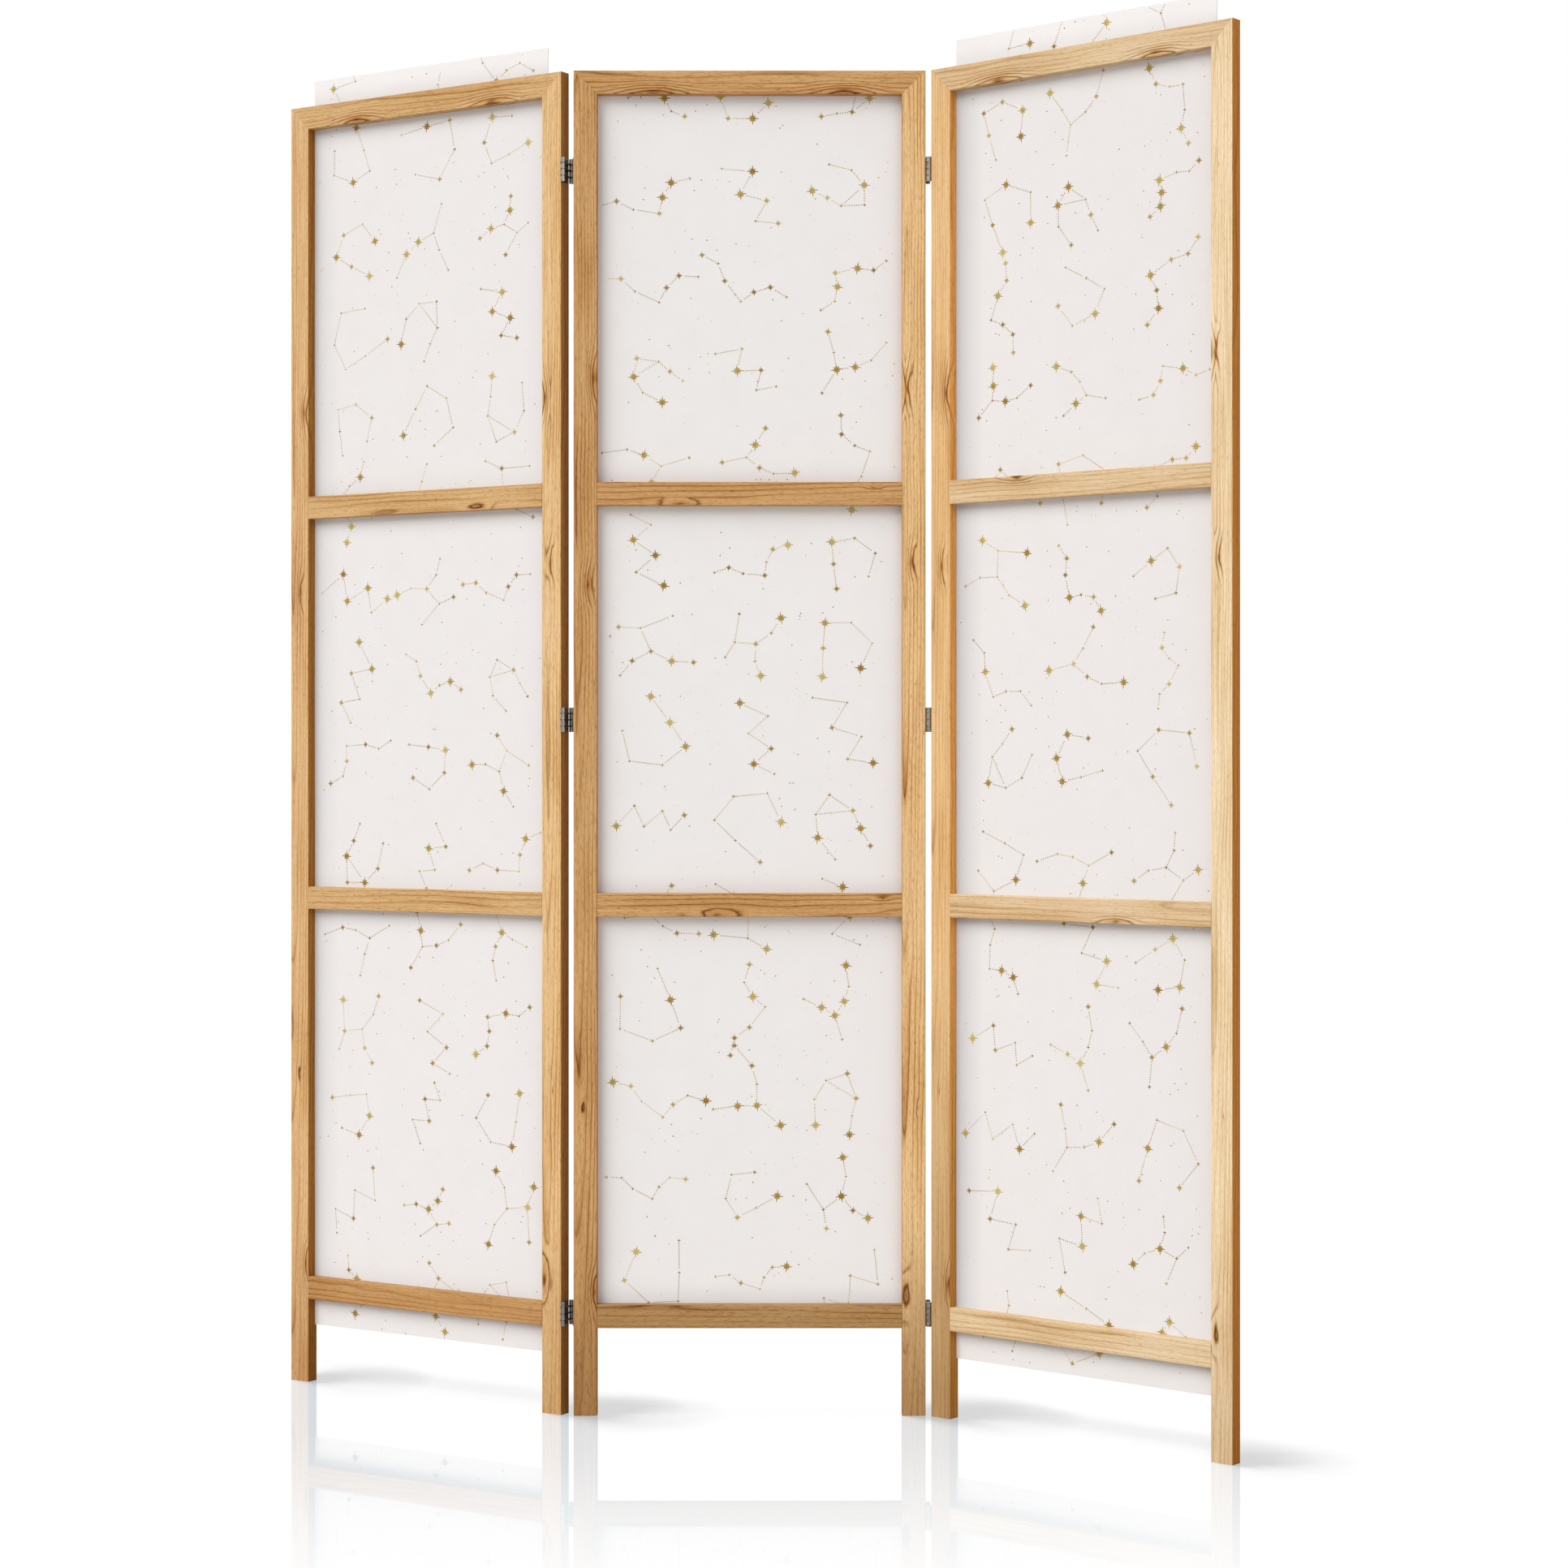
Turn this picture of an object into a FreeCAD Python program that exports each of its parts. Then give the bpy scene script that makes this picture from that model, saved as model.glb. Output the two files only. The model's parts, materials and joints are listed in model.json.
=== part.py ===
import FreeCAD, Part

import math
import os
import re

import Sketcher

# A three-panel folding screen: pine frames, one stretched printed sheet on each, and
# double-acting steel hinges that let the panels fold to either side.
# Lengths are millimetres and angles degrees. Z is up, the front faces -Y, and the
# origin lies on the floor under the middle of the screen's box, as it stands folded.
DRIVING = (
    ("panel_width", 450, "one panel, over both stiles"),
    ("panel_height", 1720, "floor to the top of the top rail"),
    ("frame_thickness", 18, "front face to back face"),
    ("stile_width", 30, "upright, seen from the front"),
    ("rail_height", 30, "cross rail, seen from the front"),
    ("foot_height", 112, "floor to the bottom rail"),
    ("edge_round", 1, "rounding of the long wooden edges"),
    ("sheet_thickness", 0.8, "printed sheet"),
    ("sheet_inset", 3, "centre sheet's ends, inside the outer rails' edges"),
    ("sheet_overhang", 36, "outer sheets' ends, past the outer rails' edges"),
    ("side_play", 0.2, "sheet or batten to the stile beside it"),
    ("batten_thickness", 3.6, "back batten that clamps the sheet on its rail"),
    ("dowel_radius", 3, "beech dowel"),
    ("dowel_length", 30, "dowel between a stile and a rail"),
    ("dowel_spacing", 14, "between the two dowels of one rail end"),
    ("mitre_dowel_length", 24, "dowel across a mitre"),
    ("dowel_chamfer", 0.8, "bevel on a dowel's ends"),
    ("dowel_end_play", 1, "hole beyond each end of a dowel"),
    ("glue_play", 0.05, "dowel to its hole, on the radius"),
    ("screw_radius", 1.5, "countersunk wood screw, shank"),
    ("screw_head_radius", 2.6, "countersunk wood screw, head"),
    ("screw_tip", 3, "length of the screw's point"),
    ("screw_play", 0.05, "screw to its hole, on the radius"),
    ("recess_reach", 1.5, "arm of the cross recess in the head"),
    ("recess_width", 0.7, "width of an arm of the cross recess"),
    ("recess_depth", 0.9, "depth of the cross recess"),
    ("batten_screw_length", 12, "screw through a batten into its rail"),
    ("batten_screw_inset", 40, "outer batten screws, from the stile"),
    ("hinge_screw_length", 12, "screw through a leaf into its stile"),
    ("hinge_screw_spacing", 16, "between the two screws of a leaf"),
    ("low_hinge_height", 130, "floor to the middle of the low hinge"),
    ("middle_hinge_height", 890, "floor to the middle of the middle hinge"),
    ("high_hinge_drop", 126, "middle of the high hinge, below the panel's top"),
    ("hinge_gap", 7.4, "between two stiles when the panels are in line"),
    ("hinge_length", 31, "hinge, top to bottom"),
    ("leaf_thickness", 1.2, "steel leaf"),
    ("leaf_reach", 15, "leaf, from its pin's axis across the stile"),
    ("knuckle_radius", 3.2, "outside of the knuckles"),
    ("pin_radius", 1.2, "hinge pin"),
    ("pin_chamfer", 0.25, "bevel on a pin's ends"),
    ("pin_play", 0.05, "pin to a knuckle's bore, on the radius"),
    ("pin_proud", 0.5, "pin's axis, outside the face plane that it folds about"),
    ("link_thickness", 1.6, "plate that joins the two pins"),
    ("link_half_width", 2.2, "half the width of that plate"),
    ("link_play", 0.1, "plate to the knuckle above or below it"),
    ("cut_overrun", 1, "how far a cut runs past the surface"),
    ("left_fold", 32, "left panel, turned back from in line"),
    ("right_fold", 40, "right panel, turned forward from in line"),
)
NAMES = {name for name, number, note in DRIVING}

RAILS = ("bottom", "lower", "upper", "top")
LINKS_PER_HINGE = 3
BATTEN_SCREWS = 3

# Sizes that follow from the driving ones.
RAIL_DEPTH = "(frame_thickness - sheet_thickness - batten_thickness)"
SHEET_BACK = "(frame_thickness - batten_thickness)"
INNER_RIGHT = "(panel_width - stile_width)"
OPENING = f"((panel_height - foot_height - {len(RAILS)} * rail_height) / {len(RAILS) - 1})"
PIN_SPAN = "(frame_thickness + 2 * pin_proud)"
LINK_SLOT = "(link_thickness + 2 * link_play)"
KNUCKLE_ROW = f"((hinge_length - {LINKS_PER_HINGE} * {LINK_SLOT}) / {LINKS_PER_HINGE + 1})"
SCREW_HOLE = "(screw_radius + screw_play)"
DOWEL_HOLE = "(dowel_radius + glue_play)"
HEAD_CONE = "(screw_head_radius - screw_radius)"
HINGE_HEIGHTS = {
    "low": "low_hinge_height",
    "middle": "middle_hinge_height",
    "high": "(panel_height - high_hinge_drop)",
}

# Where a sketch lies, and which way a cut made from it runs.
FACES = {
    "front": ("XZ_Plane", "-", False),
    "back": ("XZ_Plane", "-", True),
    "left": ("YZ_Plane", "", True),
    "right": ("YZ_Plane", "", False),
    "top": ("XY_Plane", "", False),
}

doc = FreeCAD.newDocument("folding_screen")
sizes = doc.addObject("Spreadsheet::Sheet", "Sizes")
for row, (name, number, note) in enumerate(DRIVING, start=1):
    sizes.set(f"A{row}", name)
    sizes.set(f"B{row}", str(number))
    sizes.set(f"C{row}", note)
    sizes.setAlias(f"B{row}", name)
doc.recompute()


def bound(text):
    """An expression on the sheet's cells, from one written in their names."""
    return re.sub(r"[a-z_]+", lambda word: f"Sizes.{word[0]}" if word[0] in NAMES else word[0], text)


def size(text):
    """The number that such an expression gives now."""
    return float(sizes.evalExpression(bound(text)))


def rail_foot(index):
    """Height of the underside of a rail, counted up from the bottom rail."""
    return f"(foot_height + {index} * (rail_height + {OPENING}))"


def new_body(label):
    body = doc.addObject("PartDesign::Body", label)
    body.Label = label
    return body


def sketch_at(body, face, place="0"):
    """A sketch on a plane square to the axis that the face looks along."""
    role, sign, _ = FACES[face]
    sketch = body.newObject("Sketcher::SketchObject", f"{body.Name}_sketch")
    plane = next(p for p in body.Origin.OriginFeatures if p.Role == role)
    sketch.AttachmentSupport = [(plane, "")]
    sketch.MapMode = "FlatFace"
    sketch.setExpression("AttachmentOffset.Base.z", bound(f"{sign}({place})"))
    return sketch


def fix_point(sketch, item, point, x, y):
    for kind, text in (("DistanceX", x), ("DistanceY", y)):
        index = sketch.addConstraint(Sketcher.Constraint(kind, item, point, size(text)))
        sketch.setExpression(f"Constraints[{index}]", bound(text))


def add_outline(sketch, points):
    """A closed outline of straight edges through points written as expressions."""
    corners = [FreeCAD.Vector(size(x), size(y), 0) for x, y in points]
    first = sketch.GeometryCount
    for start, end in zip(corners, corners[1:] + corners[:1]):
        sketch.addGeometry(Part.LineSegment(start, end), False)
    for step, (x, y) in enumerate(points):
        following = first + (step + 1) % len(points)
        sketch.addConstraint(Sketcher.Constraint("Coincident", first + step, 2, following, 1))
        fix_point(sketch, first + step, 1, x, y)


def add_rectangle(sketch, x_low, y_low, x_high, y_high):
    add_outline(sketch, ((x_low, y_low), (x_high, y_low), (x_high, y_high), (x_low, y_high)))


def add_circle(sketch, x, y, radius):
    centre = FreeCAD.Vector(size(x), size(y), 0)
    item = sketch.addGeometry(Part.Circle(centre, FreeCAD.Vector(0, 0, 1), size(radius)), False)
    fix_point(sketch, item, 3, x, y)
    index = sketch.addConstraint(Sketcher.Constraint("Radius", item, size(radius)))
    sketch.setExpression(f"Constraints[{index}]", bound(radius))


def pad(body, sketch, length, reverse=False):
    feature = body.newObject("PartDesign::Pad", f"{body.Name}_pad")
    feature.Profile = sketch
    feature.setExpression("Length", bound(length))
    feature.Reversed = reverse
    doc.recompute()
    return feature


def pocket(body, sketch, depth, reverse=False):
    """Cuts a sketch into the body, and stops the build if it takes nothing away."""
    before = body.Shape.Volume
    feature = body.newObject("PartDesign::Pocket", f"{body.Name}_pocket")
    feature.Profile = sketch
    feature.setExpression("Length", bound(depth))
    feature.Reversed = reverse
    doc.recompute()
    if not body.Shape.Volume < before:
        raise ValueError(f"a pocket of {body.Label} cuts nothing")
    return feature


def drill(body, face, place, holes, radius, depth):
    """Round holes from a face into the material behind it."""
    sketch = sketch_at(body, face, place)
    for x, y in holes:
        add_circle(sketch, x, y, radius)
    return pocket(body, sketch, depth, FACES[face][2])


def edges_where(body, wanted):
    return [f"Edge{n}" for n, edge in enumerate(body.Shape.Edges, start=1) if wanted(edge)]


def dress(body, kind, edges, amount):
    """A fillet or a chamfer on named edges of the body as it is."""
    base = body.Tip
    feature = body.newObject(f"PartDesign::{kind}", f"{body.Name}_{kind.lower()}")
    feature.Base = (base, edges)
    feature.setExpression({"Fillet": "Radius", "Chamfer": "Size"}[kind], bound(amount))
    doc.recompute()
    return feature


def round_long_edges(body, axis, least, sides=("front", "back")):
    """Rounds the edges that run along an axis on the piece's front and back."""
    box = body.Shape.BoundBox
    planes = {"front": box.YMin, "back": box.YMax}
    near = size("edge_round") / 2
    straight_share = 0.99

    def wanted(edge):
        ends = edge.Vertexes
        run = ends[-1].Point - ends[0].Point
        reach = abs(getattr(run, axis))
        along = reach > size(least) and reach > straight_share * run.Length
        return along and any(abs(ends[0].Y - planes[side]) < near for side in sides)

    dress(body, "Fillet", edges_where(body, wanted), "edge_round")


def countersink(body, axis, place):
    """Bevels the rims of the screw holes that open on one plane."""
    near = size("screw_play")

    def wanted(edge):
        if not isinstance(edge.Curve, Part.Circle):
            return False
        middle = edge.Curve.Center
        return (
            abs(getattr(middle, axis) - size(place)) < near
            and abs(edge.Curve.Radius - size(SCREW_HOLE)) < near
        )

    dress(body, "Chamfer", edges_where(body, wanted), HEAD_CONE)


def drill_mitre(body, side, upward):
    """Half of the dowel hole that crosses a mitre: up into the rail or down into the stile."""
    x, turn = ("stile_width / 2", 1) if side == "left" else ("panel_width - stile_width / 2", -1)
    sketch = sketch_at(body, "top", "panel_height - rail_height / 2")
    lean = turn * math.degrees(math.atan2(size("rail_height"), size("stile_width")))
    sketch.AttachmentOffset = FreeCAD.Placement(
        sketch.AttachmentOffset.Base, FreeCAD.Rotation(FreeCAD.Vector(0, 1, 0), lean)
    )
    sketch.setExpression("AttachmentOffset.Base.x", bound(x))
    sketch.setExpression("AttachmentOffset.Base.y", bound("frame_thickness / 2"))
    add_circle(sketch, "0", "0", DOWEL_HOLE)
    pocket(body, sketch, "mitre_dowel_length / 2 + dowel_end_play", upward)


def rail_dowels(index):
    """Heights of the two dowels in each end of a rail."""
    middle = f"{rail_foot(index)} + rail_height / 2"
    return [f"{middle} {sign} dowel_spacing / 2" for sign in "-+"]


def leaf_screw_heights(middle):
    return [f"{middle} {sign} hinge_screw_spacing / 2" for sign in "-+"]


def batten_screw_places():
    """Distances of a batten's screws from the panel's left edge."""
    first = "(stile_width + batten_screw_inset)"
    pitch = f"((panel_width - 2 * {first}) / {BATTEN_SCREWS - 1})"
    return [f"{first} + {step} * {pitch}" for step in range(BATTEN_SCREWS)]


def make_stile(label, side, hinged):
    """An upright: mitred top, dowel holes inside, screw holes where hinges sit."""
    outer, inner = ("0", "stile_width") if side == "left" else ("panel_width", INNER_RIGHT)
    inward, outward = ("right", "left") if side == "left" else ("left", "right")
    body = new_body(label)
    front = sketch_at(body, "front")
    add_outline(front, (
        (outer, "0"),
        (inner, "0"),
        (inner, "panel_height - rail_height"),
        (outer, "panel_height"),
    ))
    pad(body, front, "frame_thickness", reverse=True)
    round_long_edges(body, "z", "panel_height / 2")
    holes = [(f"{RAIL_DEPTH} / 2", z) for n in range(len(RAILS) - 1) for z in rail_dowels(n)]
    drill(body, inward, inner, holes, DOWEL_HOLE, "dowel_length / 2 + dowel_end_play")
    drill_mitre(body, side, upward=False)
    if hinged:
        heights = [z for middle in HINGE_HEIGHTS.values() for z in leaf_screw_heights(middle)]
        depth = "hinge_screw_length - leaf_thickness + screw_play"
        drill(body, outward, outer, [("frame_thickness / 2", z) for z in heights], SCREW_HOLE, depth)
    return body


def make_rail(label, index):
    """A cross rail between the stiles, as deep as the sheet's front."""
    foot = rail_foot(index)
    body = new_body(label)
    front = sketch_at(body, "front")
    add_rectangle(front, "stile_width", foot, INNER_RIGHT, f"{foot} + rail_height")
    pad(body, front, RAIL_DEPTH, reverse=True)
    round_long_edges(body, "x", "panel_width / 2", sides=("front",))
    ends = [(f"{RAIL_DEPTH} / 2", z) for z in rail_dowels(index)]
    depth = "dowel_length / 2 + dowel_end_play"
    drill(body, "left", "stile_width", ends, DOWEL_HOLE, depth)
    drill(body, "right", INNER_RIGHT, ends, DOWEL_HOLE, depth)
    drill_pilots(body, foot)
    return body


def make_top_rail(label):
    """The mitred top rail, rebated at the back for the sheet and its batten."""
    foot = "(panel_height - rail_height)"
    body = new_body(label)
    front = sketch_at(body, "front")
    add_outline(front, (
        ("stile_width", foot),
        (INNER_RIGHT, foot),
        ("panel_width", "panel_height"),
        ("0", "panel_height"),
    ))
    pad(body, front, "frame_thickness", reverse=True)
    round_long_edges(body, "x", "panel_width / 2")
    rebate = sketch_at(body, "back", "frame_thickness")
    add_rectangle(
        rebate, "stile_width", f"{foot} - cut_overrun", INNER_RIGHT, "panel_height + cut_overrun"
    )
    pocket(body, rebate, f"frame_thickness - {RAIL_DEPTH}", FACES["back"][2])
    for side in ("left", "right"):
        drill_mitre(body, side, upward=True)
    drill_pilots(body, foot)
    return body


def drill_pilots(body, foot):
    """Holes in a rail's back for the screws of its batten."""
    holes = [(x, f"{foot} + rail_height / 2") for x in batten_screw_places()]
    depth = f"batten_screw_length - frame_thickness + {RAIL_DEPTH} + screw_play"
    drill(body, "back", RAIL_DEPTH, holes, SCREW_HOLE, depth)


def make_batten(label, index):
    """The flat batten that clamps the sheet on one rail, from behind."""
    foot = rail_foot(index)
    body = new_body(label)
    front = sketch_at(body, "front", SHEET_BACK)
    add_rectangle(
        front, "stile_width + side_play", foot, f"{INNER_RIGHT} - side_play", f"{foot} + rail_height"
    )
    pad(body, front, "batten_thickness", reverse=True)
    round_long_edges(body, "x", "panel_width / 2", sides=("back",))
    holes = [(x, f"{foot} + rail_height / 2") for x in batten_screw_places()]
    drill(body, "back", "frame_thickness", holes, SCREW_HOLE, "batten_thickness")
    countersink(body, "y", "frame_thickness")
    return body


def make_sheet(label, reach):
    """The stretched sheet, with the holes that its battens' screws pass through."""
    body = new_body(label)
    front = sketch_at(body, "front", RAIL_DEPTH)
    add_rectangle(
        front,
        "stile_width + side_play",
        f"foot_height - {reach}",
        f"{INNER_RIGHT} - side_play",
        f"panel_height + {reach}",
    )
    pad(body, front, "sheet_thickness", reverse=True)
    holes = [
        (x, f"{rail_foot(n)} + rail_height / 2")
        for n in range(len(RAILS))
        for x in batten_screw_places()
    ]
    drill(body, "back", SHEET_BACK, holes, SCREW_HOLE, "sheet_thickness")
    return body


def make_leaf(label):
    """A hinge leaf: its plate lies on a stile's edge at x = 0, its knuckles in front."""
    low = "-hinge_length / 2"
    body = new_body(label)
    plate = sketch_at(body, "top", low)
    add_rectangle(plate, "0", "-pin_proud", "leaf_thickness", "leaf_reach - pin_proud")
    pad(body, plate, "hinge_length")
    barrel = sketch_at(body, "top", low)
    add_circle(barrel, "hinge_gap / 2", "-pin_proud", "knuckle_radius")
    pad(body, barrel, "hinge_length")
    drill(
        body, "top", "hinge_length / 2", [("hinge_gap / 2", "-pin_proud")],
        "pin_radius + pin_play", "hinge_length",
    )
    slots = sketch_at(body, "front", "-pin_proud - knuckle_radius - cut_overrun")
    for step in range(LINKS_PER_HINGE):
        foot = f"{low} + {step + 1} * {KNUCKLE_ROW} + {step} * {LINK_SLOT}"
        add_rectangle(slots, "leaf_thickness", foot, "hinge_gap + cut_overrun", f"{foot} + {LINK_SLOT}")
    pocket(body, slots, "2 * (knuckle_radius + cut_overrun)", FACES["front"][2])
    holes = [("frame_thickness / 2", z) for z in leaf_screw_heights("0")]
    drill(body, "right", "leaf_thickness", holes, SCREW_HOLE, "leaf_thickness")
    countersink(body, "x", "leaf_thickness")
    return body


def make_link(label):
    """A plate that joins both pins of a hinge, the front pin at its origin."""
    body = new_body(label)
    arm = sketch_at(body, "top")
    add_rectangle(arm, "-link_half_width", "0", "link_half_width", PIN_SPAN)
    pad(body, arm, "link_thickness")
    for place in ("0", PIN_SPAN):
        eye = sketch_at(body, "top")
        add_circle(eye, "0", place, "link_half_width")
        pad(body, eye, "link_thickness")
    drill(
        body, "top", "link_thickness", [("0", "0"), ("0", PIN_SPAN)], "pin_radius", "link_thickness"
    )
    return body


def make_rod(label, radius, length, chamfer):
    """A bevelled rod along Z, its middle at the origin: a dowel or a hinge pin."""
    body = new_body(label)
    section = sketch_at(body, "top", f"-{length} / 2")
    add_circle(section, "0", "0", radius)
    pad(body, section, length)
    dress(body, "Chamfer", edges_where(body, lambda edge: isinstance(edge.Curve, Part.Circle)), chamfer)
    return body


def make_screw(label, length):
    """A countersunk cross-recess wood screw: its head's top at z = 0, its point down."""
    body = new_body(label)
    side = sketch_at(body, "front")
    add_outline(side, (
        ("0", "0"),
        ("screw_head_radius", "0"),
        ("screw_radius", f"-{HEAD_CONE}"),
        ("screw_radius", f"screw_tip - {length}"),
        ("0", f"-{length}"),
    ))
    turned = body.newObject("PartDesign::Revolution", f"{label}_revolution")
    turned.Profile = side
    turned.ReferenceAxis = (side, ["V_Axis"])
    turned.Angle = 360
    doc.recompute()
    reach, half = "recess_reach", "recess_width / 2"
    cross = sketch_at(body, "top")
    add_outline(cross, (
        (reach, f"-{half}"), (reach, half), (half, half), (half, reach), (f"-{half}", reach),
        (f"-{half}", half), (f"-{reach}", half), (f"-{reach}", f"-{half}"), (f"-{half}", f"-{half}"),
        (f"-{half}", f"-{reach}"), (half, f"-{reach}"), (half, f"-{half}"),
    ))
    pocket(body, cross, "recess_depth")
    return body


def vector(x, y, z):
    return FreeCAD.Vector(size(x), size(y), size(z))


def turned_about(axis, angle, middle=FreeCAD.Vector()):
    """A turn about an axis through a point."""
    return FreeCAD.Placement(FreeCAD.Vector(), FreeCAD.Rotation(axis, angle), middle)


X_AXIS, Y_AXIS, Z_AXIS = FreeCAD.Vector(1, 0, 0), FreeCAD.Vector(0, 1, 0), FreeCAD.Vector(0, 0, 1)


def moved(x, y, z):
    return FreeCAD.Placement(vector(x, y, z), FreeCAD.Rotation())


def panel_places():
    """Each panel's placement, and the four pin axes, about the middle of the whole box."""
    half, fold_gap = "panel_width / 2", "(panel_width / 2 + hinge_gap / 2)"
    back, front = "(frame_thickness + pin_proud)", "(-pin_proud)"
    left_back, left_front = vector(f"-{fold_gap}", back, "0"), vector(f"-{fold_gap}", front, "0")
    right_back, right_front = vector(fold_gap, back, "0"), vector(fold_gap, front, "0")
    left_turn = turned_about(Z_AXIS, -size("left_fold"), left_back)
    right_turn = turned_about(Z_AXIS, -size("right_fold"), right_front)
    places = {
        "left_panel": left_turn * moved(f"-{half} - hinge_gap - panel_width", "0", "0"),
        "centre_panel": moved(f"-{half}", "0", "0"),
        "right_panel": right_turn * moved(f"{half} + hinge_gap", "0", "0"),
    }
    pins = {
        "left_back_pin": left_back,
        "left_front_pin": left_turn.multVec(left_front),
        "right_back_pin": right_back,
        "right_front_pin": right_front,
    }
    rounding = size("edge_round")
    corners = [
        place.multVec(vector(x, y, "0"))
        for place in places.values()
        for x in ("edge_round", "panel_width - edge_round")
        for y in ("edge_round", "frame_thickness - edge_round")
    ]
    low_x, high_x = min(p.x for p in corners) - rounding, max(p.x for p in corners) + rounding
    low_y, high_y = min(p.y for p in corners) - rounding, max(p.y for p in corners) + rounding
    shift = FreeCAD.Vector(-(low_x + high_x) / 2, -(low_y + high_y) / 2, 0)
    centring = FreeCAD.Placement(shift, FreeCAD.Rotation())
    return (
        {name: centring * place for name, place in places.items()},
        {name: point + shift for name, point in pins.items()},
    )


def group(label, sets, place):
    """Small pieces in one node: a copy of each pattern's solid at each of its spots."""
    solids = []
    for pattern, spots in sets:
        for spot in spots:
            solid = pattern.Shape.copy()
            solid.Placement = spot * pattern.Placement
            solids.append(solid)
    node = doc.addObject("Part::Feature", label)
    node.Label = label
    node.Shape = Part.makeCompound(solids)
    node.Placement = place
    return node


def rail_dowel_spots():
    spots = []
    for n in range(len(RAILS) - 1):
        for x in ("stile_width", INNER_RIGHT):
            for z in rail_dowels(n):
                spots.append(moved(x, f"{RAIL_DEPTH} / 2", z) * turned_about(Y_AXIS, 90))
    return spots


def mitre_dowel_spots():
    lean = math.degrees(math.atan2(size("rail_height"), size("stile_width")))
    height = "panel_height - rail_height / 2"
    return [
        moved("stile_width / 2", "frame_thickness / 2", height) * turned_about(Y_AXIS, lean),
        moved("panel_width - stile_width / 2", "frame_thickness / 2", height)
        * turned_about(Y_AXIS, -lean),
    ]


def batten_screw_spots():
    """Screws driven forward, their heads flush with the battens' backs."""
    return [
        moved(x, "frame_thickness", f"{rail_foot(n)} + rail_height / 2") * turned_about(X_AXIS, -90)
        for n in range(len(RAILS))
        for x in batten_screw_places()
    ]


def hinge_screw_spots(edges):
    """Screws driven into a stile's edge, their heads flush with the leaf."""
    spots = []
    for edge in edges:
        x, turn = ("-leaf_thickness", -90) if edge == "left" else ("panel_width + leaf_thickness", 90)
        for middle in HINGE_HEIGHTS.values():
            for z in leaf_screw_heights(middle):
                spots.append(moved(x, "frame_thickness / 2", z) * turned_about(Y_AXIS, turn))
    return spots


def leaf_spot(edge, knuckles, height):
    """Lays a leaf on an edge of a panel, its knuckles at the panel's front or back."""
    middle = vector("0", "frame_thickness / 2", "0")
    turns = {
        ("right", "front"): FreeCAD.Placement(),
        ("left", "front"): turned_about(Y_AXIS, 180, middle),
        ("left", "back"): turned_about(Z_AXIS, 180, middle),
        ("right", "back"): turned_about(X_AXIS, 180, middle),
    }
    x = "panel_width" if edge == "right" else "0"
    return moved(x, "0", height) * turns[(edge, knuckles)]


def make_panel(panel, place, hinged_edges, knuckles, sheet_reach, patterns):
    """All the pieces of one panel, laid out from its lower left front corner."""
    pieces = []
    for side in ("left", "right"):
        pieces.append(make_stile(f"{panel}_{side}_stile", side, side in hinged_edges))
    for index, rail in enumerate(RAILS[:-1]):
        pieces.append(make_rail(f"{panel}_{rail}_rail", index))
    pieces.append(make_top_rail(f"{panel}_top_rail"))
    for index, rail in enumerate(RAILS):
        pieces.append(make_batten(f"{panel}_{rail}_batten", index))
    pieces.append(make_sheet(f"{panel}_sheet", sheet_reach))
    for piece in pieces:
        piece.Placement = place
    for edge in hinged_edges:
        for level, height in HINGE_HEIGHTS.items():
            name = f"{panel}_{level}_leaf" if len(hinged_edges) == 1 else f"{panel}_{edge}_{level}_leaf"
            leaf = make_leaf(name)
            leaf.Placement = place * leaf_spot(edge, knuckles, height)
            pieces.append(leaf)
    dowels = [
        (patterns["rail_dowel"], rail_dowel_spots()),
        (patterns["mitre_dowel"], mitre_dowel_spots()),
    ]
    batten_screws = [(patterns["batten_screw"], batten_screw_spots())]
    hinge_screws = [(patterns["hinge_screw"], hinge_screw_spots(hinged_edges))]
    pieces.append(group(f"{panel}_dowels", dowels, place))
    pieces.append(group(f"{panel}_batten_screws", batten_screws, place))
    pieces.append(group(f"{panel}_hinge_screws", hinge_screws, place))
    return pieces


def make_links(side, place, patterns):
    """The link plates and the pins of one joint's three hinges."""
    x = "panel_width + hinge_gap / 2"
    plates, pins = [], []
    for height in HINGE_HEIGHTS.values():
        low = f"({height} - hinge_length / 2)"
        for step in range(LINKS_PER_HINGE):
            foot = f"{low} + {step + 1} * {KNUCKLE_ROW} + {step} * {LINK_SLOT} + link_play"
            plates.append(moved(x, "-pin_proud", foot))
        for y in ("-pin_proud", "frame_thickness + pin_proud"):
            pins.append(moved(x, y, height))
    return [
        group(f"{side}_hinge_links", [(patterns["hinge_link"], plates)], place),
        group(f"{side}_hinge_pins", [(patterns["hinge_pin"], pins)], place),
    ]


def check_objects(pieces):
    """Stops the build where an object failed or a piece has no sound solid."""
    for item in doc.Objects:
        if {"Invalid", "Error"} & set(item.State):
            raise ValueError(f"{item.Label} failed: {item.State}")
    for piece in pieces:
        if piece.Shape.isNull() or not piece.Shape.isValid() or not piece.Shape.Solids:
            raise ValueError(f"{piece.Label} has no sound solid")


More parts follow.
